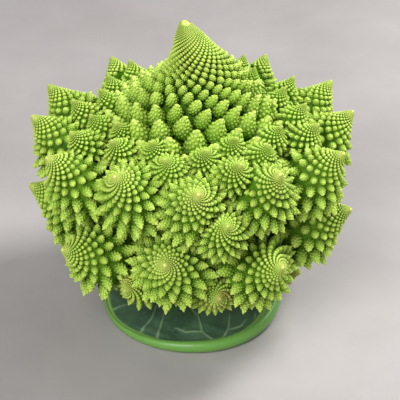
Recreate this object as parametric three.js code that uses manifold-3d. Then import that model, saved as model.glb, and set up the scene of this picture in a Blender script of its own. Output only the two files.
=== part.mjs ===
// A romanesco head standing on one of its own leaves, in millimetres with +Z up.
// The origin is the middle of the leaf's flat underside, and the leaf's open front faces -Y.
// Azimuths are in degrees, measured from the front (-Y) towards the right (+X).
// Polar angles are in degrees, measured from straight up, at the focus inside the head.

import * as THREE from "three";
import { mergeVertices } from "three/addons/utils/BufferGeometryUtils.js";
import Module from "manifold-3d";

const wasm = await Module();
wasm.setup();

// ---- Driving dimensions ------------------------------------------------------------------

const gap = 0.3; // clearance between neighbouring pieces
const focus = new THREE.Vector3(0, 0, 60); // the floret tips lie on a shell about this point
const shellTop = 77; // focus to tip, at the crown
const shellGrowth = 12; // how much further out the shell is at 90 degrees
const shellBulge = { height: 22, at: 58, spread: 14 }; // the longest florets stand here
const shellTuck = { from: 86, slope: 1.4 }; // mm per degree that the lowest florets draw in
const shellRise = { height: 15, spread: 22 }; // and it rises again towards the spire
const nod = 3.5; // degrees by which the head leans back, so florets stand higher in front
const axisLean = 0.75; // a floret leans this share of its polar angle

// A floret, from its stem to its tip, as radius and height in shares of its width.
const floretProfile = [
  [0.17, -1.6], [0.36, -1.15], [0.5, -0.78], [0.46, -0.55], [0.32, -0.37], [0.17, -0.19], [0, 0],
];
const floret = {
  stemRadius: 0.13, // share of the width
  stemReach: 0.9, // stem length over the tip's distance from the origin
  shoulder: 0.6, // depth of its widest part below the tip, as a share of the width
  budRise: 0.07, // share by which the corners stand proud
  columns: 12,
  smallColumns: 8,
  smallWidth: 24, // florets narrower than this have fewer columns
  youngColumns: 6,
};

const goldenAngle = 137.50776;

// Rings of large florets, lowest first. Every second floret of a ring stands lower by the zigzag.
const rings = [
  { polar: 100, zigzag: 0, width: 27, count: 9, middle: 11 },
  { polar: 79, zigzag: 5, width: 43, count: 9, middle: -9 },
  { polar: 66, zigzag: 0, width: 27, count: 3, middle: 11 }, // between the two large rings
  { polar: 57, zigzag: -2.5, width: 39, count: 12, middle: 2 },
];

// Above them the florets follow one golden spiral up to the crown.
const spiral = { lowest: 49, start: 20, count: 24 };
const shrink = { least: 0.12, perMillimetre: 0.005, most: 0.3 }; // width over distance from the axis

// The stalk, from its cut foot to its top, as radius and height.
const stalkProfile = [[14, 5.3], [16, 22], [17, 45], [14, 78], [12, 108], [8, 112]];
const stalkTop = 112;
const stalkColumns = 24;

const crown = {
  youngFlorets: 40, // the spiral's next turns, which are one piece with the spire
  stemShare: 2.2, // of their width
  bottomRadius: 9,
  rimRadius: 39,
  rimHeight: 114,
  domeRadius: 25,
  domeHeight: 129,
  budRise: 0.04, // share by which the core's corners stand proud
  columns: 20,
  spireFoot: 145,
  spireProfile: [[18, 0], [9.9, 0.38], [6.5, 0.66]], // radius, and share of the way to the tip
  tip: 172,
  tipRadius: 3,
  tipRound: 2,
  lean: 19, // degrees, towards -X
  shift: 5, // how far towards +X the spire's foot stands
};

const leaf = {
  radius: 49,
  flatRadius: 36, // of the underside that rests on the table
  blade: 3.2,
  seat: 5, // thickness under the stalk
  ribFront: 3.6, // radius of the thick midrib that curls round the edge
  ribEnd: 5, // and at its cut end, behind on the right
  ribTip: 1.6, // and where it runs out on the left
  ribFade: 0.8, // how soon it thins towards the left
  backRise: 14,
  backWaves: 5,
  waveShare: 0.03, // of the radius
  foldShare: 0.62, // share of the radius up to which the blade lies low
  foldRise: 0.15, // and how much of the back's rise it has there
  seatShare: 0.45, // share of the radius that the seat takes
  columns: 48,
};

// The midrib's section, from its underside over its top to the blade, as (inwards, up) in shares
// of its half thickness.
const ribSection = [[0.3, 0.3], [0, 1], [0.3, 1.7], [1, 2], [1.7, 1.6]];
const ribFoot = { under: 1.2, rise: 0.9, inside: 2.1 }; // where it meets the underside and the blade

const colours = { leaf: 0x2f5a45, stalk: 0xc9d99a, crown: 0xa3c93c, floret: 0x8fbf33 };

// ---- Geometry helpers --------------------------------------------------------------------

const radians = THREE.MathUtils.degToRad;
const yUp = new THREE.Vector3(0, 1, 0);

function direction(azimuth, polar) {
  const flat = Math.sin(radians(polar));
  return new THREE.Vector3(
    flat * Math.sin(radians(azimuth)),
    -flat * Math.cos(radians(azimuth)),
    Math.cos(radians(polar)),
  );
}

function solidFrom(geometry) {
  const bare = geometry.clone();
  bare.deleteAttribute("normal");
  bare.deleteAttribute("uv");
  const merged = mergeVertices(bare, 1e-4);
  return new wasm.Manifold(
    new wasm.Mesh({
      numProp: 3,
      vertProperties: new Float32Array(merged.attributes.position.array),
      triVerts: new Uint32Array(merged.index.array),
    }),
  );
}

function geometryFrom(solid) {
  const mesh = solid.getMesh();
  const geometry = new THREE.BufferGeometry();
  geometry.setAttribute("position", new THREE.BufferAttribute(mesh.vertProperties, 3));
  geometry.setIndex(new THREE.BufferAttribute(mesh.triVerts, 1));
  geometry.computeVertexNormals();
  return geometry;
}

// Every second corner of a turned surface stands proud, like the tips of buds.
function raiseBuds(geometry, rows, share) {
  const position = geometry.attributes.position;
  for (let i = 0; i < position.count; i++) {
    const row = i % rows;
    const column = Math.floor(i / rows);
    const last = position.count / rows - 1;
    const proud = ((column % last) + row) % 2 === 0 ? 1 + share : 1 - share;
    position.setX(i, position.getX(i) * proud);
    position.setZ(i, position.getZ(i) * proud);
  }
  return geometry;
}

function lathe(points, segments) {
  return new THREE.LatheGeometry(points.map(([r, y]) => new THREE.Vector2(r, y)), segments);
}

// ---- Where the florets stand -------------------------------------------------------------

function reach(polar) {
  const fromBulge = (polar - shellBulge.at) / shellBulge.spread;
  const bulge = shellBulge.height * Math.exp(-(fromBulge ** 2));
  const rise = shellRise.height * Math.exp(-((polar / shellRise.spread) ** 2));
  const tuck = shellTuck.slope * Math.max(0, polar - shellTuck.from);
  return shellTop + shellGrowth * (polar / 90) ** 2 + bulge + rise - tuck;
}

function floretSite(azimuth, ringPolar, width) {
  const polar = ringPolar - nod * Math.cos(radians(azimuth));
  const tip = direction(azimuth, polar).multiplyScalar(reach(ringPolar)).add(focus);
  const axis = direction(azimuth, polar * axisLean);
  const turn = new THREE.Quaternion().setFromUnitVectors(yUp, axis);
  const shoulder = tip.clone().addScaledVector(axis, -floret.shoulder * width);
  return { width, tip, axis, turn, shoulder };
}

function ringSites({ polar, zigzag, width, count, middle }) {
  return Array.from({ length: count }, (_, i) => {
    const step = i - Math.floor(count / 2);
    const lower = step % 2 === 0 ? 0 : zigzag;
    return floretSite(middle + (360 / count) * step, polar + lower, width);
  });
}

// Each floret takes its own area of the shell, so its width says how far the spiral climbs.
function spiralSites(count) {
  const sites = [];
  let polar = spiral.lowest;
  for (let k = 0; k < count; k++) {
    const radius = reach(polar) * Math.sin(radians(polar));
    const width = radius * Math.min(shrink.most, shrink.least + shrink.perMillimetre * radius);
    sites.push(floretSite(spiral.start + goldenAngle * k, polar, width));
    polar -= THREE.MathUtils.radToDeg(width ** 2 / (2 * Math.PI * radius * reach(polar)));
  }
  return sites;
}

const climbing = spiralSites(spiral.count + crown.youngFlorets);
const sites = [...rings.flatMap(ringSites), ...climbing.slice(0, spiral.count)];
const youngSites = climbing.slice(spiral.count);

// ---- The pieces --------------------------------------------------------------------------

// A pointed cone of buds on a stem, with its tip at the origin and its stem along -Y.
function floretGeometry(width, stemLength, columns) {
  const head = floretProfile.map(([radius, height]) => [radius * width, height * width]);
  const profile = [[0, -stemLength], [floret.stemRadius * width, -stemLength], ...head];
  return raiseBuds(lathe(profile, columns), profile.length, floret.budRise);
}

function placed(geometry, site) {
  const matrix = new THREE.Matrix4().compose(site.tip, site.turn, new THREE.Vector3(1, 1, 1));
  return solidFrom(geometry.clone().applyMatrix4(matrix));
}

// Neighbours that would touch are both cut back from a plane between their shoulders.
function separate(pieces) {
  for (let i = 0; i < pieces.length; i++) {
    for (let j = i + 1; j < pieces.length; j++) {
      const [a, b] = [pieces[i], pieces[j]];
      if (a.young && b.young) continue;
      if (a.solid.minGap(b.solid, gap) >= gap) continue;
      const towards = b.site.shoulder.clone().sub(a.site.shoulder).normalize();
      const share = a.site.width / (a.site.width + b.site.width);
      const offset = a.site.shoulder.clone().lerp(b.site.shoulder, share).dot(towards);
      a.solid = a.solid.trimByPlane(towards.clone().negate().toArray(), gap / 2 - offset);
      b.solid = b.solid.trimByPlane(towards.toArray(), offset + gap / 2);
    }
  }
}

function stalkGeometry(grow) {
  const side = stalkProfile.map(([radius, height]) => [radius + grow, height]);
  const foot = stalkProfile[0][1];
  const top = stalkTop + grow;
  const cap = [side.at(-1)[0], top];
  const profile = [[0, foot], ...side, ...(grow > 0 ? [cap] : []), [0, top]];
  return lathe(profile, stalkColumns).rotateX(Math.PI / 2);
}

// The dome and the spire, as one turned surface; the spire leans over.
function crownCoreGeometry(grow) {
  const { bottomRadius, rimRadius, rimHeight, domeRadius, domeHeight } = crown;
  const { spireFoot, spireProfile, tip, tipRadius, tipRound } = crown;
  const bottom = stalkTop + 2 * gap - grow;
  const side = [
    [bottomRadius, bottom], [rimRadius, rimHeight], [domeRadius, domeHeight],
    ...spireProfile.map(([radius, share]) => [radius, spireFoot + share * (tip - spireFoot)]),
    [tipRadius, tip - tipRound], [0.5 * tipRadius, tip],
  ];
  const points = [[0, bottom], ...side.map(([radius, height]) => [radius + grow, height]), [0, tip + grow]];
  const rise = grow > 0 ? 0 : crown.budRise;
  const geometry = raiseBuds(lathe(points, crown.columns), points.length, rise).rotateX(Math.PI / 2);
  const position = geometry.attributes.position;
  for (let i = 0; i < position.count; i++) {
    position.setX(i, position.getX(i) + spireOffset(position.getZ(i)));
  }
  return geometry;
}

function spireOffset(height) {
  const onDome = (height - crown.domeHeight) / (crown.spireFoot - crown.domeHeight);
  const aboveFoot = Math.max(0, height - crown.spireFoot);
  return crown.shift * THREE.MathUtils.clamp(onDome, 0, 1) - aboveFoot * Math.tan(radians(crown.lean));
}

// The leaf: a dished blade whose thick midrib curls round the front edge as a raised rim.
// The leaf's outline at one azimuth, in radians from the front towards the right, from the middle
// of its underside out round its rim and back to the middle of its seat.
function leafOutline(azimuth) {
  const behind = (1 - Math.cos(azimuth)) / 2;
  const right = Math.max(0, Math.sin(azimuth));
  const left = Math.max(0, -Math.sin(azimuth));
  const towardsEnd = right * Math.sqrt(behind);
  const towardsTip = Math.min(1, left * leaf.ribFade + (1 - right) * behind);
  const rib = leaf.ribFront + (leaf.ribEnd - leaf.ribFront) * towardsEnd
    - (leaf.ribFront - leaf.ribTip) * towardsTip;
  const rise = leaf.backRise * behind ** 2;
  const edge = leaf.radius * (1 + leaf.waveShare * behind * Math.sin(leaf.backWaves * azimuth));
  return [
    [0, 0],
    [leaf.flatRadius, 0],
    [edge - ribFoot.under * rib, ribFoot.rise * rise],
    ...ribSection.map(([inwards, up]) => [edge - inwards * rib, up * rib + rise]),
    [edge - ribFoot.inside * rib, leaf.blade + rise],
    [leaf.foldShare * leaf.radius, leaf.blade + leaf.foldRise * rise],
    [leaf.seatShare * leaf.radius, leaf.seat],
    [0, leaf.seat],
  ];
}

function leafGeometry() {
  const rows = leafOutline(0).length;
  const geometry = lathe(leafOutline(0), leaf.columns).rotateX(Math.PI / 2);
  const position = geometry.attributes.position;
  for (let i = 0; i < position.count; i++) {
    const azimuth = (2 * Math.PI * Math.floor(i / rows)) / leaf.columns;
    const [radius, height] = leafOutline(azimuth)[i % rows];
    position.setXYZ(i, radius * Math.sin(azimuth), -radius * Math.cos(azimuth), height);
  }
  return geometry;
}

// ---- Assembly ----------------------------------------------------------------------------

function material(colour, roughness) {
  return new THREE.MeshStandardMaterial({ color: colour, roughness, metalness: 0 });
}

const group = new THREE.Group();

function add(name, geometry, look, parent = group) {
  const mesh = new THREE.Mesh(geometry, look);
  mesh.name = name;
  parent.add(mesh);
  return mesh;
}

const looks = {
  leaf: material(colours.leaf, 0.45),
  stalk: material(colours.stalk, 0.6),
  crown: material(colours.crown, 0.55),
  floret: material(colours.floret, 0.55),
};

const stalkRoom = solidFrom(stalkGeometry(gap));
const crownRoom = solidFrom(crownCoreGeometry(gap + crown.budRise * crown.rimRadius));

const grown = sites.map((site) => {
  const columns = site.width < floret.smallWidth ? floret.smallColumns : floret.columns;
  const geometry = floretGeometry(site.width, site.tip.length() * floret.stemReach, columns);
  return { site, solid: placed(geometry, site).subtract(stalkRoom).subtract(crownRoom) };
});
const young = youngSites.map((site) => {
  const geometry = floretGeometry(site.width, crown.stemShare * site.width, floret.youngColumns);
  return { site, young: true, solid: placed(geometry, site) };
});
separate([...grown, ...young]);

add("leaf", leafGeometry(), looks.leaf);
add("stalk", stalkGeometry(0), looks.stalk);
const crownSolid = young.reduce((sum, piece) => sum.add(piece.solid), solidFrom(crownCoreGeometry(0)));
add("crown", geometryFrom(crownSolid), looks.crown);

const florets = new THREE.Group();
group.add(florets);
grown.forEach(({ site, solid }, i) => {
  const local = geometryFrom(solid).translate(-site.tip.x, -site.tip.y, -site.tip.z);
  local.applyQuaternion(site.turn.clone().invert());
  const mesh = add(`floret_${String(i + 1).padStart(2, "0")}`, local, looks.floret, florets);
  mesh.position.copy(site.tip);
  mesh.quaternion.copy(site.turn);
});

export default group;
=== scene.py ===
# The looks of a romanesco head that stands on one of its own leaves, built around the packed
# frame. Lengths are in metres, +Z is up, and the leaf's open front faces -Y.
import math

import bpy
import numpy as np
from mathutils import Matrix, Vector


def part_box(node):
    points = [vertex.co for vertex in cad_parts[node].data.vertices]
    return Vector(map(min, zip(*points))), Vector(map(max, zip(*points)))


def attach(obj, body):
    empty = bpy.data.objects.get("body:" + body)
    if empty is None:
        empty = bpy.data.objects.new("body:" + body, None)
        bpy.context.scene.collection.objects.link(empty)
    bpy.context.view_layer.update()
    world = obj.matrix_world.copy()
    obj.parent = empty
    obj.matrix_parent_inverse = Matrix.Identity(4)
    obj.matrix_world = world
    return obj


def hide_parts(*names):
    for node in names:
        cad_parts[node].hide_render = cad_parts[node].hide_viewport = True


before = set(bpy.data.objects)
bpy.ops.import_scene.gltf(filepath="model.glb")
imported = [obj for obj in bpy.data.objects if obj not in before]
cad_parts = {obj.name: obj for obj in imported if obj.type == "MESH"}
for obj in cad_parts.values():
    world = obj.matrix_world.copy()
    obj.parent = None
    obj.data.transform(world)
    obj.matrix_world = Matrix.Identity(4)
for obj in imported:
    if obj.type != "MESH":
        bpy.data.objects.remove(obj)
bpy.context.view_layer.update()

random = np.random.default_rng(7)

# ---- Driving values ----------------------------------------------------------------------

GOLDEN_ANGLE = math.radians(137.50776)
UP = np.array([0.0, 0.0, 1.0])
FOCUS = np.array([0.0, 0.0, 0.060])  # inside the head; the florets stand round it
AXIS_LEAN = 0.75  # a floret leans this share of the angle at which it stands

# A floret's core below its tip, as (radius, height) in shares of the floret's width.
FLORET_CORE = [
    (0, 0), (0.025, -0.012), (0.085, -0.13), (0.165, -0.28), (0.255, -0.43), (0.335, -0.59),
    (0.365, -0.73), (0.345, -0.88), (0.29, -1.05), (0.21, -1.25), (0.15, -1.5),
]
FLORET_MESH = (28, 40)  # columns and levels of a core
# The core's rise gives it painted shade deep down between the florets and a painted highlight at its
# tip.
CORE_LIT = ([0, 0.06, 0.12], [1, 0.7, 0.0])  # depths below the tip, and the core's rise at each
STEM_RADIUS = 0.14
STEM_NARROWS = 0.9  # at its end
STEM_END = 0.02  # length over which it does so
STEM_COLOUR = (1.1, 0.4)  # depth where the stem's colour begins, and the depth it takes to set in
STEM_AGE = 2.0  # added to the age, which is 1 at most on the buds
CAD_BUD_RISE = 1.07  # how far the CAD solid's corners stand proud of its width
SHOULDER = 0.6  # depth of a floret's widest part below its tip
LOWEST_BUD = 1.22  # depth below the tip where the buds begin
BUD_SHARE = (0.34, 0.48)  # a bud's width over the core's radius, at the tip and at the rim
WIDEST_BUD = 0.178
BUD_FULLNESS = (1.05, 0.98)  # of the width it has room for, at the tip and at the rim
BUD_HEIGHT = (0.42, 1.3)  # over the bud's width, at the tip and at the rim
BUD_TILT = (50, 2, -38)  # degrees above square to the axis, at the tip, the rim and below it
TURN_UNDER = 0.3  # depth below the rim that the tilt takes to change
TIP_END = 0.03  # the buds stop this far along the profile from the tip
TILT_SPREAD = 3  # degrees, by chance
HEIGHT_SPREAD = 0.06  # share of a bud's height, by chance

# Neighbouring florets hold each other back at a plane between their shoulders.
NEAR = 1.3  # over both widths; florets further apart than this don't meet
BUD_ROOM = 0.10  # share of its width by which a floret's buds are rooted short of the plane
CORE_ROOM = 0.03  # and by which its core ends short of it
LEAST_FACING = 0.15  # only points that face a neighbour more than this are held
BUDDED_RADIUS = 1.25  # a neighbour's radius over its core's
LEAST_KEPT = 0.12  # share of its radius that a point always keeps
LEAST_GROWN = 0.3  # buds that keep less than this share don't grow
HELD_SIZE = (0.35, 0.8)  # a held bud's size: this much, and more with the share that it keeps

PART_BROWN_WIDTH = 0.03  # low florets narrower than this are part brown

# The least width of each kind of bud. The young, fine and medium ones carry beads, which are
# finer buds of their own.
LEAST_WIDTHS = {"young": 0.0080, "fine": 0.0040, "medium": 0.0026, "plain": 0.0013, "tiny": 0.0}

# Buds as (radius, height) in shares of their width and height, from the tip down.
TINY_BUD = [(0, 0.95), (0.38, 0.58), (0.48, -0.3)]
PLAIN_BUD = [(0, 1.0), (0.24, 0.86), (0.46, 0.4), (0.46, -0.35)]
ROUND_BUD = [(0, 1.0), (0.08, 0.91), (0.24, 0.62), (0.37, 0.27), (0.42, -0.05), (0.3, -0.42)]
YOUNG_BUD = [
    (0, 1.0), (0.07, 0.95), (0.15, 0.7), (0.27, 0.42), (0.42, 0.1), (0.46, -0.1), (0.38, -0.5),
]
BEAD_WIDTHS = {"medium": 0.28, "fine": 0.22, "young": 0.175}
LOWEST_BEAD = -0.12  # height
BEAD_TILT = (60, 12)  # degrees above square to the bud's axis, at its tip and at its bottom
BEAD_SIZE = np.array([1.05, 1.05, 0.32])  # across, across and high, over the bead's width
# The rise sets painted shade low on each bud and a painted highlight on its top.
BEAD_LIT = 0.2  # share of its own rise that a bead adds to the bud's

# The crown: what the tips of its buds reach, and the core under them, as (radius, height) below
# the spire's tip.
CROWN_REACH = [
    (0.0022, -0.0006), (0.0034, -0.0025), (0.0078, -0.0085), (0.0113, -0.0154), (0.016, -0.021),
    (0.021, -0.0265), (0.0288, -0.033), (0.0355, -0.0385), (0.042, -0.045), (0.046, -0.053),
]
CROWN_CORE = [
    (0, -0.0004), (0.0019, -0.0009), (0.0031, -0.0030), (0.0069, -0.0094), (0.0094, -0.0170),
    (0.0118, -0.0245), (0.0150, -0.033), (0.020, -0.042), (0.027, -0.051), (0.030, -0.057),
    (0.012, -0.060),
]
CROWN_MESH = (48, 60)  # columns and levels of the core
CROWN_TILT = (38, 64)  # degrees above level, of the buds at the tip and at the rim
CROWN_RIM_BUD = 0.010  # width of the buds that have the rim's tilt
CROWN_SHARE = (0.12, 5.6, 0.30)  # bud width over its radius: at the axis, more per metre, at most
CROWN_END = 0.0035  # the buds stop this far along the outline from the tip
CROWN_SPREAD = 0.05  # share of a bud's height, by chance
# By a bud's width: its height over its width, its fullness and its age.
CROWN_HEIGHT = ([0, 0.0012, 0.0025, 0.006, 0.012], [0.2, 0.4, 0.85, 1.1, 1.15])
CROWN_FULLNESS = ([0, 0.003, 0.006, 0.012], [1.1, 0.98, 1.05, 1.15])
CROWN_AGE = ([0, 0.002, 0.006], [0.08, 0.12, 0.3])
# By depth below the tip: the core's age and rise.
CROWN_CORE_AGE = ([0, 0.01], [0.1, 0.3])
# The core's rise falls with depth, so its painted shade darkens deep in the crown.
CROWN_CORE_LIT = ([0, 0.012, 0.03], [0.75, 0.6, 0.0])
SPIRE_LEAN = math.radians(19)  # towards -X
SPIRE_SHIFT = 0.005  # how far towards +X the spire's foot stands
SPIRE_FOOT = -0.027  # above this height the spire leans
DOME_FOOT = -0.043  # and from this one up to it the shift grows

# The stalk, from its cut foot up, as (radius, height).
STALK = [
    (0.0135, 0.0053), (0.0155, 0.008), (0.0165, 0.022), (0.0168, 0.045), (0.0135, 0.078),
    (0.0115, 0.107),
]
STALK_MESH = (72, 100)  # columns and rows
STALK_LEVELS = 90  # points of the outline before it is swept
STALK_RIDGES = (5, 0.02)  # how many, and how high as a share of the radius
SCAR_RATE = 520  # radians of the scars' wave per metre of height
SCAR_DEPTH = 0.0005

# The leaf. Its rim is the thick midrib, which curls round the edge from the cut end on the right.
LEAF_MESH = (300, 150)  # columns and rows
LAST_ROW_BELOW = 72  # the rows after this one lie on the upper side
FLAT_RADIUS = 0.034  # of the underside that rests on the table
BLADE_EDGE = 0.0030  # heights of the upper side, from the rim inwards to the stalk's seat
BLADE_MIDDLE = 0.0028
SEAT_FOOT = 0.0044
SEAT = 0.0049
SEAT_SMOOTH = (0.018, 0.008)  # veins and waves begin at this radius and are full this much further
RIM_FRONT = 0.0036  # the rim's half thickness at the front
RIM_GROWS = 0.0014  # added at the cut end
RIM_THINS = 0.0020  # taken off where it runs out
BACK_RISE = 0.014
FRONT_PULL = 0.012  # share by which the front's radius is smaller
EDGE_WAVE = 0.008  # share of the radius
BLADE_WAVE = 0.0004

# Where each vein of the leaf runs, from the rim inwards, as (x, y).
VEINS = [
    [(0.010, -0.046), (0.011, -0.041), (0.005, -0.032), (0.003, -0.021), (-0.003, -0.010)],
    [(0.011, -0.041), (0.016, -0.038), (0.019, -0.030), (0.020, -0.018)],
    [(-0.020, -0.043), (-0.018, -0.030), (-0.015, -0.014)],
    [(-0.029, -0.036), (-0.026, -0.028), (-0.022, -0.020), (-0.020, -0.010)],
    [(0.034, -0.034), (0.033, -0.026), (0.034, -0.017)],
    [(0.044, -0.016), (0.037, -0.012), (0.028, -0.008)],
    [(-0.044, -0.014), (-0.036, -0.009), (-0.028, -0.006)],
    [(0.005, -0.032), (-0.004, -0.033), (-0.010, -0.029)],
    [(0.019, -0.030), (0.026, -0.027), (0.029, -0.021)],
]
VEIN_WIDTH = 0.0009
VEIN_RISE = 0.0006
VEIN_THINS = 0.6  # share of its width that a vein loses by its end

# The camera, which sees the head about as the photo does, and the light.
ELEVATION = math.radians(32)
DISTANCE = 0.85
SENSOR = 36  # millimetres, as the lens is
LENS = 143
AIM_RIGHT = 0.0037  # of the focus
AIM_UP = 0.0053
SOFTBOXES = {  # place, size and watts
    "key": ((0.5, 0.2, 0.75), 0.3, 9.5),
    "fill": ((-0.35, -0.8, 0.75), 0.6, 11.5),
}
WORLD_STRENGTH = 0.3
FLOOR_HALF = 3.0


# ---- Meshes from arrays ------------------------------------------------------------------

class Shape:
    """Points and triangles, with each point's age (0 at a tip) and rise (0 in crevices, where buds get
    painted shade).
    """

    def __init__(self, points, faces, age, rise):
        self.points = np.asarray(points, float)
        self.faces = np.asarray(faces, int)
        self.age = np.asarray(age, float)
        self.rise = np.asarray(rise, float)


def joined(shapes):
    starts = np.cumsum([0] + [len(s.points) for s in shapes[:-1]])
    return Shape(
        np.concatenate([s.points for s in shapes]),
        np.concatenate([s.faces + start for s, start in zip(shapes, starts)]),
        np.concatenate([s.age for s in shapes]),
        np.concatenate([s.rise for s in shapes]),
    )


def copies(shape, bases, origins, ages):
    """One copy of a shape per row: bases are 3x3 (columns are the axes), origins are points."""
    count = len(origins)
    points = np.einsum("nij,tj->nti", bases, shape.points) + origins[:, None]
    shifts = np.arange(count) * len(shape.points)
    return Shape(
        points.reshape(-1, 3),
        (shape.faces[None] + shifts[:, None, None]).reshape(-1, 3),
        np.repeat(ages, len(shape.points)),
        np.tile(shape.rise, count),
    )


def revolved(profile, columns):
    """A closed body about +Z, from a tip on the axis down a profile to a flat bottom."""
    profile = np.asarray(profile, float)
    rings = profile[1:]
    angles = np.arange(columns) * 2 * math.pi / columns
    around = np.stack([np.cos(angles), np.sin(angles)], 1)
    points = [[0, 0, profile[0, 1]]]
    for radius, height in rings:
        points += [[radius * x, radius * y, height] for x, y in around]
    points.append([0, 0, rings[-1, 1]])
    faces = []
    for c in range(columns):
        d = (c + 1) % columns
        faces.append((0, 1 + c, 1 + d))
        for ring in range(len(rings) - 1):
            a = 1 + ring * columns
            b = a + columns
            faces += [(a + c, b + c, b + d), (a + c, b + d, a + d)]
        last = 1 + (len(rings) - 1) * columns
        faces.append((last + d, last + c, len(points) - 1))
    points = np.array(points, float)
    return Shape(points, faces, np.zeros(len(points)), np.zeros(len(points)))


def made(shape, name, material):
    mesh = bpy.data.meshes.new(name)
    mesh.vertices.add(len(shape.points))
    mesh.vertices.foreach_set("co", shape.points.astype(np.float32).ravel())
    mesh.loops.add(3 * len(shape.faces))
    mesh.loops.foreach_set("vertex_index", shape.faces.astype(np.int32).ravel())
    mesh.polygons.add(len(shape.faces))
    mesh.polygons.foreach_set("loop_start", np.arange(0, 3 * len(shape.faces), 3, dtype=np.int32))
    mesh.update(calc_edges=True)
    mesh.shade_smooth()
    for key, values in (("age", shape.age), ("rise", shape.rise)):
        attribute = mesh.attributes.new(key, "FLOAT", "POINT")
        attribute.data.foreach_set("value", values.astype(np.float32))
    mesh.materials.append(material)
    piece = bpy.data.objects.new(name, mesh)
    bpy.context.scene.collection.objects.link(piece)
    return piece


# ---- Curves and spirals ------------------------------------------------------------------

class Curve:
    """A profile below a tip, rounded off, looked up by the length along it."""

    def __init__(self, points, rounds=3):
        points = np.asarray(points, float)
        for _ in range(rounds):
            near = 0.75 * points[:-1] + 0.25 * points[1:]
            far = 0.25 * points[:-1] + 0.75 * points[1:]
            middle = np.stack([near, far], 1).reshape(-1, 2)
            points = np.concatenate([points[:1], middle, points[-1:]])
        self.radii, self.heights = points.T
        steps = np.hypot(np.diff(self.radii), np.diff(self.heights))
        self.lengths = np.concatenate([[0], np.cumsum(steps)])

    def radius(self, length):
        return np.interp(length, self.lengths, self.radii)

    def height(self, length):
        return np.interp(length, self.lengths, self.heights)

    def length_at(self, height):
        return np.interp(-height, -self.heights, self.lengths)

    def radius_at(self, height):
        return np.interp(-height, -self.heights, self.radii)


def golden_rows(curve, start, width_at, finish):
    """Buds along one spiral, from the lowest up: rows of length along the curve, turn, width."""
    rows = []
    length = start
    turn = 0.0
    while length > finish:
        radius = curve.radius(length)
        width = width_at(radius)
        rows.append((length, turn, width))
        length -= width ** 2 / (2 * math.pi * radius)
        turn += GOLDEN_ANGLE
    return np.array(rows)


def frames_along(axes):
    """For each unit axis a 3x3 basis whose third column is that axis."""
    side = np.cross(np.where(np.abs(axes[:, 2:]) < 0.9, UP, np.array([1.0, 0, 0])), axes)
    side /= np.linalg.norm(side, axis=1, keepdims=True)
    other = np.cross(axes, side)
    return np.stack([side, other, axes], 2)


# ---- Buds --------------------------------------------------------------------------------

floret_curve = Curve(FLORET_CORE)


def floret_width_at(radius):
    return min(WIDEST_BUD, radius * np.interp(radius, [0, floret_curve.radii.max()], BUD_SHARE))


def peg(columns, profile):
    """A plain pointed bud, one unit wide, rooted a little below the origin."""
    shape = revolved(profile, columns)
    # Its rise, from its root to its tip, masks painted shade and a painted highlight.
    shape.rise = np.clip(shape.points[:, 2] / profile[0][1], 0, 1)
    return shape


tiny_peg = peg(5, TINY_BUD)


def outward_at(turns, tilt):
    """Unit vectors square to +Z at these turns, and the same tilted up by these angles."""
    out = np.stack([np.cos(turns), np.sin(turns), 0 * turns], 1)
    tilt = np.asarray(tilt)[:, None]
    return out, out * np.cos(tilt) + UP * np.sin(tilt)


def beaded_peg(bead, columns, profile):
    """A bud with beads of one width on it, one unit wide and one high."""
    curve = Curve(profile, 2)
    end = curve.lengths[-1]
    rows = golden_rows(curve, curve.length_at(LOWEST_BEAD), lambda radius: bead, bead)
    core = peg(columns, profile)
    # The core's and the beads' rise follow their heights and mask painted shade and highlight.
    core.rise = np.clip(core.points[:, 2] + 0.05, 0, 1)
    lengths, turns, widths = rows.T
    out, directions = outward_at(turns, np.radians(np.interp(lengths, [0, end], BEAD_TILT)))
    roots = out * curve.radius(lengths)[:, None] + UP * curve.height(lengths)[:, None]
    bases = frames_along(directions) * (widths[:, None] * BEAD_SIZE)[:, None]
    beads = copies(tiny_peg, bases, roots, 0 * widths)
    beads.rise = np.clip(BEAD_LIT * beads.rise + beads.points[:, 2], 0, 1)
    return joined([core, beads])


pegs = {
    "tiny": tiny_peg,
    "plain": peg(7, PLAIN_BUD),
    "medium": beaded_peg(BEAD_WIDTHS["medium"], 7, ROUND_BUD),
    "fine": beaded_peg(BEAD_WIDTHS["fine"], 9, ROUND_BUD),
    "young": beaded_peg(BEAD_WIDTHS["young"], 12, YOUNG_BUD),
}


def studded(roots, directions, widths, heights, ages, real_widths):
    """Buds at these roots, each of the kind for its real width and turned about its axis by chance."""
    bases = frames_along(directions)
    spin = random.uniform(0, 2 * math.pi, len(roots))
    cos, sin = np.cos(spin)[:, None], np.sin(spin)[:, None]
    sides = [bases[:, :, 0] * cos + bases[:, :, 1] * sin, bases[:, :, 1] * cos - bases[:, :, 0] * sin]
    turned = np.stack([*sides, bases[:, :, 2]], 2) * np.stack([widths, widths, heights], 1)[:, None]
    shapes = []
    above = np.inf
    for kind, least in LEAST_WIDTHS.items():
        chosen = (real_widths >= least) & (real_widths < above)
        above = least
        if chosen.any():
            shapes.append(copies(pegs[kind], turned[chosen], roots[chosen], ages[chosen]))
    return joined(shapes)


# ---- Florets -----------------------------------------------------------------------------

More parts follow.
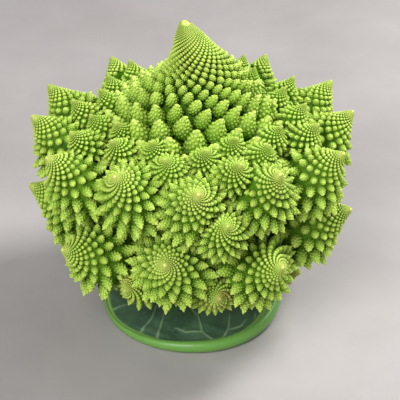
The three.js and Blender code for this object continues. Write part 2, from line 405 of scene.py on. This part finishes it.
class Site:
    """Where a floret stands, read off its CAD solid."""

    def __init__(self, node):
        points = np.array([v.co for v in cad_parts[node].data.vertices], float)
        self.node = node
        self.tip = points[np.linalg.norm(points - FOCUS, axis=1).argmax()]
        out = self.tip - FOCUS
        self.turn = math.atan2(out[1], out[0])
        lean = AXIS_LEAN * math.acos(out[2] / np.linalg.norm(out))
        flat = math.sin(lean)
        self.axis = np.array([flat * math.cos(self.turn), flat * math.sin(self.turn), math.cos(lean)])
        along = (points - self.tip) @ self.axis
        across = np.linalg.norm(points - self.tip - along[:, None] * self.axis, axis=1)
        self.depth = -along.min()  # from the tip to the stem's end
        self.width = 2 * across.max() / CAD_BUD_RISE
        self.basis = frames_along(self.axis[None])[0]
        self.shoulder = self.tip - SHOULDER * self.width * self.axis

    def world(self, points):
        return self.tip + (points * self.width) @ self.basis.T


def press(site, others, points, reach):
    """The share of its radius that each point of a floret keeps between its neighbours.

    The points are in the floret's own frame, in shares of its width. Reach is the room that they
    leave before the shared plane, as a share of the same width."""
    keep = np.ones(len(points))
    world = site.world(points)
    outward = points * np.array([1, 1, 0])
    radius = np.maximum(np.linalg.norm(outward, axis=1), 1e-9)
    outward = (outward / radius[:, None]) @ site.basis.T
    for other in others:
        towards = other.shoulder - site.shoulder
        apart = np.linalg.norm(towards)
        towards /= apart
        share = site.width / (site.width + other.width)
        past = (world - site.shoulder) @ towards - share * apart + reach * site.width
        facing = outward @ towards
        along = (world - other.tip) @ other.axis / other.width
        across = np.linalg.norm(world - other.tip - along[:, None] * other.width * other.axis, axis=1)
        near = across < BUDDED_RADIUS * other.width * floret_curve.radius_at(along) + reach * site.width
        held = (past > 0) & (facing > LEAST_FACING) & near
        room = 1 - past / np.maximum(facing, LEAST_FACING) / (radius * site.width)
        keep = np.where(held, np.minimum(keep, room), keep)
    return np.clip(keep, LEAST_KEPT, 1)


def narrowed(points, keep):
    return points * np.stack([keep, keep, np.ones(len(keep))], 1)


def floret_shape(site, others):
    """A core under one golden-angle spiral of buds, which the neighbours hold back."""
    lowest = floret_curve.length_at(-LOWEST_BUD)
    lengths, turns, widths = golden_rows(floret_curve, lowest, floret_width_at, TIP_END).T
    turns = random.choice([-1, 1]) * turns + random.uniform(0, 2 * math.pi)
    heights = floret_curve.height(lengths)
    grown = widths / WIDEST_BUD
    rim = floret_curve.heights[floret_curve.radii.argmax()]
    under = np.clip((rim - heights) / TURN_UNDER, 0, 1)
    tilt = np.interp(grown, [0, 1], BUD_TILT[:2]) + under * (BUD_TILT[2] - BUD_TILT[1])
    out, directions = outward_at(turns, np.radians(tilt + random.normal(0, TILT_SPREAD, len(tilt))))
    roots = out * floret_curve.radius(lengths)[:, None] + UP * heights[:, None]
    tall = np.interp(grown, [0, 1], BUD_HEIGHT) * widths * random.normal(1, HEIGHT_SPREAD, len(widths))
    wide = np.interp(grown, [0, 1], BUD_FULLNESS) * widths
    keep = press(site, others, roots, BUD_ROOM)
    roots = narrowed(roots, keep)
    scale = np.clip(HELD_SIZE[0] + HELD_SIZE[1] * keep, 0, 1)
    stays = keep > LEAST_GROWN
    ages = np.clip(lengths / lowest, 0, 1)
    buds = studded(
        roots[stays], directions[stays], (wide * scale)[stays], (tall * scale)[stays],
        ages[stays], (widths * scale)[stays] * site.width,
    )
    whole = joined([core_shape(site, others), buds])
    whole.points = site.world(whole.points)
    return whole


def core_shape(site, others):
    """The smooth body under the buds, down to the stem's end at the stalk."""
    columns, count = FLORET_MESH
    end = site.depth / site.width
    levels = np.linspace(0, floret_curve.lengths[-1], count)
    profile = list(zip(floret_curve.radius(levels), floret_curve.height(levels)))
    profile += [(STEM_RADIUS, -end + STEM_END), (STEM_RADIUS * STEM_NARROWS, -end)]
    core = revolved(profile, columns)
    core.points = narrowed(core.points, press(site, others, core.points, CORE_ROOM))
    depth = -core.points[:, 2]
    start, length = STEM_COLOUR
    core.age = np.clip(depth / LOWEST_BUD, 0, 1) + STEM_AGE * np.clip((depth - start) / length, 0, 1)
    core.rise = np.interp(depth, *CORE_LIT)
    return core


# ---- Crown -------------------------------------------------------------------------------

def crown_width_at(radius):
    least, more, most = CROWN_SHARE
    return radius * min(most, least + more * radius)


def lean_over(points, tip_height):
    """Moves a crown that stands straight so that its spire leans."""
    heights = points[:, 2]
    dome = np.clip((heights - DOME_FOOT) / (SPIRE_FOOT - DOME_FOOT), 0, 1)
    shift = SPIRE_SHIFT * dome - np.maximum(0, heights - SPIRE_FOOT) * math.tan(SPIRE_LEAN)
    return np.stack([points[:, 0] + shift, points[:, 1], heights + tip_height], 1)


def crown_shape(last_site):
    """The spiral of florets goes on from the last separate one, up to the spire's tip."""
    reach = Curve([(0, 0), *CROWN_REACH], 2)
    core_curve = Curve(CROWN_CORE, 2)
    lengths, turns, widths = golden_rows(reach, reach.lengths[-1], crown_width_at, CROWN_END).T
    turns += last_site.turn + GOLDEN_ANGLE
    tilt = np.interp(widths, [0, CROWN_RIM_BUD], CROWN_TILT)
    out, directions = outward_at(turns, np.radians(tilt))
    tips = out * reach.radius(lengths)[:, None] + UP * reach.height(lengths)[:, None]
    tall = widths * np.interp(widths, *CROWN_HEIGHT)
    wide = widths * np.interp(widths, *CROWN_FULLNESS)
    tall *= random.normal(1, CROWN_SPREAD, len(tall))
    roots = tips - directions * tall[:, None]
    buds = studded(roots, directions, wide, tall, np.interp(widths, *CROWN_AGE), widths)
    columns, count = CROWN_MESH
    levels = np.linspace(0, core_curve.lengths[-1], count)
    core = revolved(list(zip(core_curve.radius(levels), core_curve.height(levels))), columns)
    core.age = np.interp(-core.points[:, 2], *CROWN_CORE_AGE)
    core.rise = np.interp(-core.points[:, 2], *CROWN_CORE_LIT)
    whole = joined([core, buds])
    whole.points = lean_over(whole.points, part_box("crown")[1].z)
    return whole


# ---- Stalk and leaf ----------------------------------------------------------------------

def swept(profile_at, columns, rows):
    """A closed body whose outline, from the bottom middle to the top middle, varies round it."""
    rings = []
    for column in range(columns):
        azimuth = 2 * math.pi * column / columns
        curve = np.array(profile_at(azimuth))
        steps = np.concatenate([[0], np.cumsum(np.linalg.norm(np.diff(curve, axis=0), axis=1))])
        at = np.linspace(0, steps[-1], rows + 2)[1:-1]
        radius, height = (np.interp(at, steps, curve[:, k]) for k in (0, 1))
        rings.append(np.stack([radius * math.sin(azimuth), -radius * math.cos(azimuth), height], 1))
    middle = profile_at(0.0)
    points = np.concatenate([[[0, 0, middle[0][1]]], *rings, [[0, 0, middle[-1][1]]]])
    faces = []
    for column in range(columns):
        a = 1 + column * rows
        b = 1 + (column + 1) % columns * rows
        faces.append((0, b, a))
        for row in range(rows - 1):
            faces += [(a + row, b + row, b + row + 1), (a + row, b + row + 1, a + row + 1)]
        faces.append((a + rows - 1, b + rows - 1, len(points) - 1))
    zeros = np.zeros(len(points))
    return Shape(points, faces, zeros, zeros.copy())


def stalk_shape():
    """The cut stalk, with the scars of the leaves that were taken off."""
    curve = Curve(STALK, 2)
    at = np.linspace(0, curve.lengths[-1], STALK_LEVELS)
    ridges, ridge_height = STALK_RIDGES

    def profile_at(azimuth):
        heights = curve.height(at)
        scar = np.maximum(0, np.sin(heights * SCAR_RATE + 1.3 * math.sin(azimuth * 2 + 1))) ** 6
        radii = curve.radius(at) * (1 + ridge_height * math.sin(ridges * azimuth)) - SCAR_DEPTH * scar
        low, high = STALK[0][1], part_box("stalk")[1].z
        return [(0, low), *zip(radii, heights), (0, high)]

    shape = swept(profile_at, *STALK_MESH)
    shape.age = np.clip(shape.points[:, 2] / STALK[-1][1], 0, 1)
    return shape


def vein_strength(points):
    """1 along a vein's middle, falling to 0 at its sides; each vein thins towards its end."""
    strength = np.zeros(len(points))
    for vein in VEINS:
        vein = np.array(vein)
        for k, (start, end) in enumerate(zip(vein[:-1], vein[1:])):
            along = end - start
            share = np.clip((points[:, :2] - start) @ along / (along @ along), 0, 1)
            away = np.linalg.norm(points[:, :2] - start - share[:, None] * along, axis=1)
            width = VEIN_WIDTH * (1 - VEIN_THINS * (k + share) / (len(vein) - 1))
            strength = np.maximum(strength, np.clip(1.3 - away / width, 0, 1))
    return strength


def rim_at(azimuth):
    """The rim's half thickness, how far it is lifted and its radius, from -Y towards +X."""
    behind = (1 - np.cos(azimuth)) / 2
    right = np.maximum(0.0, np.sin(azimuth))
    left = np.maximum(0.0, -np.sin(azimuth))
    thin = np.minimum(1.0, left * 0.8 + (1 - right) * behind)
    rib = RIM_FRONT + RIM_GROWS * right * behind ** 0.5 - RIM_THINS * thin
    wave = EDGE_WAVE * np.sin(3 * azimuth + 0.6)
    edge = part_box("leaf")[1].x * (1 - FRONT_PULL * (1 - behind) + wave)
    return rib, BACK_RISE * behind ** 2, edge


def blade_waves(x, y):
    """Soft, uneven waves from -1 to 1; the rates are in radians per metre."""
    return np.sin(x * 330 + 2 * np.sin(y * 210)) * np.sin(y * 290 + 1)


def leaf_shape():
    """A shallow cup with a rolled rim.

    Its rise is 1 along the veins, and its age grows from 0 on the blade to 1 on the painted highlight
    along the rim."""
    def profile_at(azimuth):
        rib, rise, edge = rim_at(azimuth)
        curve = Curve([
            (0, 0), (FLAT_RADIUS, 0), (edge - 1.2 * rib, 0.9 * rise),
            (edge - 0.25 * rib, 0.25 * rib + rise), (edge, rib + rise),
            (edge - 0.2 * rib, 1.75 * rib + rise), (edge - 0.9 * rib, 2.05 * rib + rise),
            (edge - 1.6 * rib, 1.5 * rib + rise),
            (edge - 2.3 * rib, BLADE_EDGE + rise + BLADE_WAVE * math.sin(7 * azimuth)),
            (0.68 * edge, BLADE_MIDDLE + 0.3 * rise), (0.46 * edge, SEAT_FOOT), (0.3 * edge, SEAT),
            (0, SEAT),
        ], 2)
        return list(zip(curve.radii, curve.heights))

    columns, rows = LEAF_MESH
    shape = swept(profile_at, columns, rows)
    points = shape.points
    radius = np.hypot(points[:, 0], points[:, 1])
    rib, _, edge = rim_at(np.arctan2(points[:, 0], -points[:, 1]))
    on_top = (np.arange(len(points)) - 1) % rows > LAST_ROW_BELOW
    blade = on_top * np.clip((radius - SEAT_SMOOTH[0]) / SEAT_SMOOTH[1], 0, 1)
    blade *= np.clip((edge - 2.2 * rib - radius) / 0.003, 0, 1)
    veins = vein_strength(points) * on_top
    waves = blade_waves(points[:, 0], points[:, 1])
    points[:, 2] += VEIN_RISE * veins * blade + BLADE_WAVE * waves * blade
    shape.rise = veins
    rim = np.clip((radius - edge + 2.4 * rib) / (0.5 * rib), 0, 1)
    # Painted highlight: a pale line along the top of the rolled rim.
    painted_highlight_line = np.exp(-(((radius - edge + 1.5 * rib) / (0.45 * rib)) ** 2)) * on_top
    shape.age = 0.6 * rim + 0.4 * painted_highlight_line
    return shape


# ---- Materials ---------------------------------------------------------------------------

def linear(red, green, blue):
    def one(value):
        value /= 255
        return value / 12.92 if value <= 0.04045 else ((value + 0.055) / 1.055) ** 2.4
    return (one(red), one(green), one(blue), 1)


class Look:
    """A node material under construction."""

    def __init__(self, name):
        self.material = bpy.data.materials.new(name)
        self.material.use_nodes = True
        self.tree = self.material.node_tree
        self.shader = self.tree.nodes["Principled BSDF"]

    def node(self, kind, **inputs):
        node = self.tree.nodes.new(kind)
        for key, value in inputs.items():
            self.feed(node, key.replace("_", " "), value)
        return node

    def feed(self, node, key, value):
        self.fill(node.inputs[key], value)

    def fill(self, socket, value):
        """Links a socket to another node's output, or sets the socket's own value."""
        if isinstance(value, bpy.types.NodeSocket):
            self.tree.links.new(value, socket)
        else:
            socket.default_value = value

    def attribute(self, name):
        node = self.node("ShaderNodeAttribute")
        node.attribute_name = name
        return node.outputs["Fac"]

    def ramp(self, value, stops):
        """Colours at places from 0 to 1 along a value."""
        node = self.node("ShaderNodeValToRGB", Fac=value)
        elements = node.color_ramp.elements
        while len(elements) < len(stops):
            elements.new(0.5)
        for element, (place, colour) in zip(elements, stops):
            element.position = place
            element.color = colour
        return node.outputs["Color"]

    def span(self, value, low, high, start=0.0, end=1.0):
        node = self.node("ShaderNodeMapRange", Value=value)
        self.feed(node, "From Min", low)
        self.feed(node, "From Max", high)
        self.feed(node, "To Min", start)
        self.feed(node, "To Max", end)
        return node.outputs["Result"]

    def mix(self, share, first, second, blend="MIX"):
        node = self.tree.nodes.new("ShaderNodeMix")
        node.data_type = "RGBA"
        node.blend_type = blend
        for key, value in (("Factor_Float", share), ("A_Color", first), ("B_Color", second)):
            self.fill(next(s for s in node.inputs if s.identifier == key), value)
        return next(s for s in node.outputs if s.identifier == "Result_Color")

    def noise(self, scale, detail=3.0, roughness=0.55):
        coordinates = self.node("ShaderNodeTexCoord")
        node = self.node("ShaderNodeTexNoise", Scale=scale, Detail=detail, Roughness=roughness)
        self.feed(node, "Vector", coordinates.outputs["Object"])
        return node.outputs["Fac"]

    def bump(self, height, strength, distance):
        node = self.node("ShaderNodeBump", Height=height, Strength=strength, Distance=distance)
        self.feed(self.shader, "Normal", node.outputs["Normal"])


def bud_material(name, brown_share):
    """Yellow-green flesh with painted shade between the buds; brown_share is how much of it is brown."""
    look = Look(name)
    age = look.attribute("age")
    rise = look.attribute("rise")
    flesh = look.ramp(look.span(age, 0, 1), [
        (0.0, linear(212, 212, 112)), (0.06, linear(194, 214, 94)), (0.3, linear(182, 212, 82)),
        (1.0, linear(188, 218, 88)),
    ])
    # Painted shade: the flesh is darkened where the rise is low, down in the crevices between the buds.
    painted_crevice_shade = look.mix(1.0, flesh, linear(74, 112, 44), "MULTIPLY")
    colour = look.mix(look.span(rise, 0.1, 0.7), painted_crevice_shade, flesh)
    # Painted highlight: the tops of the buds, where the rise is highest, are mixed towards pale yellow.
    painted_highlight = look.mix(look.span(rise, 0.8, 1.0, 0, 0.4), colour, linear(218, 224, 124))
    stem = look.mix(look.span(age, 1.2, 2.4), painted_highlight, linear(120, 150, 76))
    patches = look.mix(look.span(look.noise(55), 0.35, 0.7, 0, 0.35), stem, linear(150, 196, 60))
    brown = look.mix(look.span(look.noise(140), 0.45, 0.65, 0, brown_share), patches, linear(176, 150, 92))
    look.feed(look.shader, "Base Color", brown)
    look.feed(look.shader, "Roughness", 0.5)
    look.feed(look.shader, "Specular IOR Level", look.span(rise, 0.1, 0.8, 0.05, 0.5))
    look.feed(look.shader, "Subsurface Weight", 0.1)
    look.feed(look.shader, "Subsurface Radius", (0.6, 1.0, 0.25))
    look.feed(look.shader, "Subsurface Scale", 0.001)
    look.bump(look.noise(2600, 2.0), 0.35, 0.0002)
    return look.material


def stalk_material():
    look = Look("romanesco_stalk")
    streaks = look.ramp(look.noise(160, 4.0), [(0.3, linear(120, 150, 70)), (0.7, linear(150, 178, 92))])
    colour = look.mix(look.span(look.attribute("age"), 0.05, 0.08), linear(150, 168, 100), streaks)
    look.feed(look.shader, "Base Color", colour)
    look.feed(look.shader, "Roughness", 0.55)
    look.bump(look.noise(900, 3.0), 0.4, 0.0003)
    return look.material


def leaf_material():
    look = Look("romanesco_leaf")
    # The age holds the rim band, the leaf's own colour, and the painted highlight line along its top.
    rim = look.attribute("age")
    vein = look.attribute("rise")
    blade = look.ramp(look.noise(60, 5.0), [(0.3, linear(54, 84, 64)), (0.7, linear(96, 128, 98))])
    veined = look.mix(look.span(look.noise(420, 2.0), 0.5, 0.75, 0, 0.35), blade, linear(104, 140, 108))
    marked = look.mix(look.span(vein, 0.15, 0.9, 0, 0.7), veined, linear(156, 186, 140))
    colour = look.mix(look.span(rim, 0.1, 0.5), marked, linear(106, 158, 70))
    # Painted highlight along the top of the rim, where the age is highest.
    rim_painted_highlight = look.mix(look.span(rim, 0.65, 0.98, 0, 0.85), colour, linear(184, 216, 136))
    look.feed(look.shader, "Base Color", rim_painted_highlight)
    look.feed(look.shader, "Roughness", 0.4)
    look.bump(look.noise(700, 3.0), 0.3, 0.0004)
    return look.material


# ---- Assembly ----------------------------------------------------------------------------

def add(shape, name, material, node):
    piece = made(shape, name, material)
    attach(piece, "root")
    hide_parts(node)


def meets(site, other):
    apart = np.linalg.norm(other.shoulder - site.shoulder)
    return other is not site and apart < NEAR * (other.width + site.width)


fresh = bud_material("romanesco_buds", 0.0)
part_brown = bud_material("romanesco_part_brown_buds", 0.6)
sites = [Site(node) for node in sorted(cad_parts) if node.startswith("floret")]
for site in sites:
    others = [other for other in sites if meets(site, other)]
    low_and_narrow = site.width < PART_BROWN_WIDTH and site.tip[2] < FOCUS[2]
    material = part_brown if low_and_narrow else fresh
    add(floret_shape(site, others), site.node + "_buds", material, site.node)
add(crown_shape(sites[-1]), "crown_buds", fresh, "crown")
add(stalk_shape(), "stalk_skin", stalk_material(), "stalk")
add(leaf_shape(), "leaf_blade", leaf_material(), "leaf")


# ---- Stage -------------------------------------------------------------------------------

def camera():
    forward = Vector((0, math.cos(ELEVATION), -math.sin(ELEVATION)))
    up = Vector((0, math.sin(ELEVATION), math.cos(ELEVATION)))
    data = bpy.data.cameras.new("camera")
    data.lens = LENS
    data.sensor_width = SENSOR
    item = bpy.data.objects.new("camera", data)
    item.location = Vector(FOCUS) + Vector((AIM_RIGHT, 0, 0)) + AIM_UP * up - DISTANCE * forward
    item.rotation_euler = forward.to_track_quat("-Z", "Y").to_euler()
    bpy.context.scene.collection.objects.link(item)
    bpy.context.scene.camera = item


def floor():
    half = FLOOR_HALF
    corners = [(-half, -half, 0), (half, -half, 0), (half, half, 0), (-half, half, 0)]
    mesh = bpy.data.meshes.new("floor")
    mesh.from_pydata(corners, [], [(0, 1, 2, 3)])
    look = Look("pale_floor")
    tone = look.ramp(look.noise(9, 6.0), [(0.3, linear(158, 152, 150)), (0.7, linear(174, 169, 167))])
    look.feed(look.shader, "Base Color", tone)
    look.feed(look.shader, "Roughness", 0.6)
    mesh.materials.append(look.material)
    item = bpy.data.objects.new("floor", mesh)
    bpy.context.scene.collection.objects.link(item)


def softbox(name, place, size, power):
    data = bpy.data.lights.new(name, "AREA")
    data.size = size
    data.energy = power
    item = bpy.data.objects.new(name, data)
    item.location = place
    item.rotation_euler = (Vector(FOCUS) - Vector(place)).to_track_quat("-Z", "Y").to_euler()
    bpy.context.scene.collection.objects.link(item)


def world_light(strength):
    world = bpy.data.worlds.new("studio")
    world.use_nodes = True
    background = world.node_tree.nodes["Background"]
    background.inputs["Color"].default_value = (0.93, 0.96, 1.0, 1)
    background.inputs["Strength"].default_value = strength
    bpy.context.scene.world = world


camera()
floor()
for light, values in SOFTBOXES.items():
    softbox(light, *values)
world_light(WORLD_STRENGTH)
bpy.context.scene.view_settings.view_transform = "Standard"
